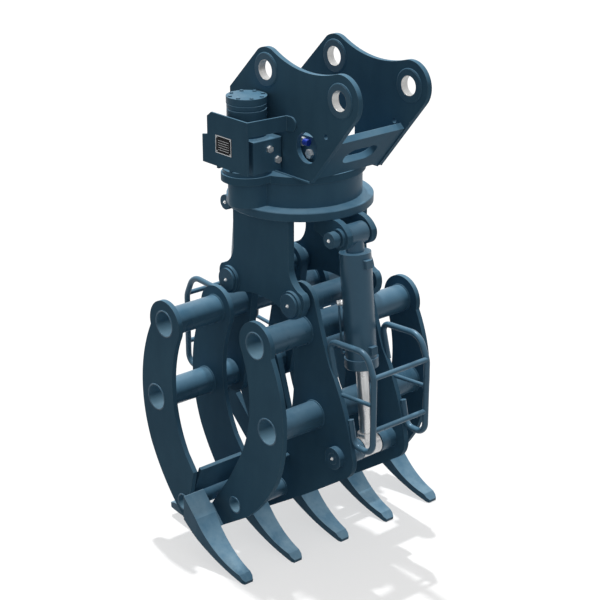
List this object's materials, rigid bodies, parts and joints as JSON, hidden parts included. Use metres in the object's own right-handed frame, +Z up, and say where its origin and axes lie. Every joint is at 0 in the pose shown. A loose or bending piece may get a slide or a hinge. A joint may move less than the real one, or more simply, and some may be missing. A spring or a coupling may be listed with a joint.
{
  "type": "log grapple",
  "caption": "Excavator log grapple: pin-on head with two ears, slewing drive, and two curved tined jaws closed by guarded cylinders.",
  "frame": {"origin": "centre of the stick pin bore, midway between the ears", "axes": "+Z up, +Y along the pins, +X from the stick pin towards the link pin"},
  "size_m": [1.258, 1.185, 2.157],
  "materials": {
    "blue_grey_paint": "satin enamel on steel plate",
    "chrome_rod": "hard chrome, ground",
    "machined_bore": "machined bore, painted outside",
    "zinc_fittings": "zinc plated",
    "blue_cap": "moulded plastic",
    "plate_black": "black plate with a bare edge",
    "bare_steel": "machined and greased",
    "bolt_paint": "painted over"
  },
  "bodies": {
    "head": {"base_plate": "blue_grey_paint", "bearing_inner_ring": "bare_steel", "bearing_rollers": "bare_steel", "front_plate": "blue_grey_paint", "gear_housing": "blue_grey_paint", "left_ear": "blue_grey_paint", "motor_cap": "blue_grey_paint", "motor_cap_bolts": "bolt_paint", "nameplate": "plate_black", "pin_bosses": "machined_bore", "port_cap": "blue_cap", "port_fittings": "zinc_fittings", "port_manifold": "blue_grey_paint", "right_ear": "blue_grey_paint", "slewing_motor": "blue_grey_paint", "swivel_core": "bare_steel", "valve_block": "blue_grey_paint", "valve_guard": "blue_grey_paint", "valve_plugs": "zinc_fittings"},
    "pinion": {"drive_pinion": "bare_steel"},
    "rotor": {"cylinder_lugs": "blue_grey_paint", "cylinder_pins": "blue_grey_paint", "jaw_pins": "blue_grey_paint", "left_side_plate": "blue_grey_paint", "right_side_plate": "blue_grey_paint", "ring_gear": "bare_steel", "swivel_sleeve": "bare_steel", "turntable": "blue_grey_paint", "turntable_bolts": "bolt_paint"},
    "left_jaw": {"left_arms": "blue_grey_paint", "left_cross_tubes": "blue_grey_paint", "left_cylinder_brackets": "blue_grey_paint", "left_guard": "blue_grey_paint", "left_pivot_tube": "blue_grey_paint", "left_rod_pin": "blue_grey_paint", "left_teeth": "blue_grey_paint", "left_tine_1": "blue_grey_paint", "left_tine_2": "blue_grey_paint", "left_tine_3": "blue_grey_paint", "left_tine_4": "blue_grey_paint", "left_tine_5": "blue_grey_paint", "left_web_plates": "blue_grey_paint"},
    "right_jaw": {"right_cross_tubes": "blue_grey_paint", "right_guard": "blue_grey_paint", "right_pivot_tube": "blue_grey_paint", "right_rod_pin": "blue_grey_paint", "right_rod_pin_bosses": "blue_grey_paint", "right_teeth": "blue_grey_paint", "right_tine_1": "blue_grey_paint", "right_tine_2": "blue_grey_paint", "right_tine_3": "blue_grey_paint", "right_tine_4": "blue_grey_paint", "right_web_plates": "blue_grey_paint"},
    "left_cylinder": {"left_barrel": "blue_grey_paint", "left_gland": "blue_grey_paint"},
    "right_cylinder": {"right_barrel": "blue_grey_paint", "right_gland": "blue_grey_paint"},
    "left_rod": {"left_rod": "chrome_rod"},
    "right_rod": {"right_rod": "chrome_rod"}
  },
  "joints": [
    {"name": "slewing", "type": "hinge", "parent": "head", "child": "rotor", "pos_m": [-0.02, 0, -0.487], "axis": [0, 0, 1], "continuous": true},
    {"name": "pinion_spin", "type": "hinge", "parent": "head", "child": "pinion", "pos_m": [-0.02, -0.28, -0.487], "axis": [0, 0, 1], "continuous": true},
    {"name": "left_jaw_swing", "type": "hinge", "parent": "rotor", "child": "left_jaw", "pos_m": [-0.22, 0, -0.937], "axis": [0, 1, 0], "range_deg": [0, 50]},
    {"name": "right_jaw_swing", "type": "hinge", "parent": "rotor", "child": "right_jaw", "pos_m": [0.18, 0, -0.937], "axis": [0, -1, 0], "range_deg": [0, 50]},
    {"name": "left_cylinder_tilt", "type": "hinge", "parent": "rotor", "child": "left_cylinder", "pos_m": [-0.35, 0, -0.647], "axis": [0, 1, 0], "range_deg": [0, 36.95]},
    {"name": "right_cylinder_tilt", "type": "hinge", "parent": "rotor", "child": "right_cylinder", "pos_m": [0.31, 0, -0.647], "axis": [0, -1, 0], "range_deg": [0, 36.95]},
    {"name": "left_rod_tilt", "type": "hinge", "parent": "left_jaw", "child": "left_rod", "pos_m": [-0.445, 0, -1.557], "axis": [0, 1, 0], "range_deg": [-13.05, 0]},
    {"name": "right_rod_tilt", "type": "hinge", "parent": "right_jaw", "child": "right_rod", "pos_m": [0.405, 0, -1.557], "axis": [0, -1, 0], "range_deg": [-13.05, 0]}
  ],
  "couplings": [
    {"joint": "pinion_spin", "follows": "slewing", "ratio": -3.7059},
    {"joint": "right_jaw_swing", "follows": "left_jaw_swing", "ratio": 1},
    {"joint": "left_cylinder_tilt", "follows": "left_jaw_swing", "ratio": 0.739},
    {"joint": "right_cylinder_tilt", "follows": "left_jaw_swing", "ratio": 0.739},
    {"joint": "left_rod_tilt", "follows": "left_jaw_swing", "ratio": -0.261},
    {"joint": "right_rod_tilt", "follows": "left_jaw_swing", "ratio": -0.261}
  ]
}
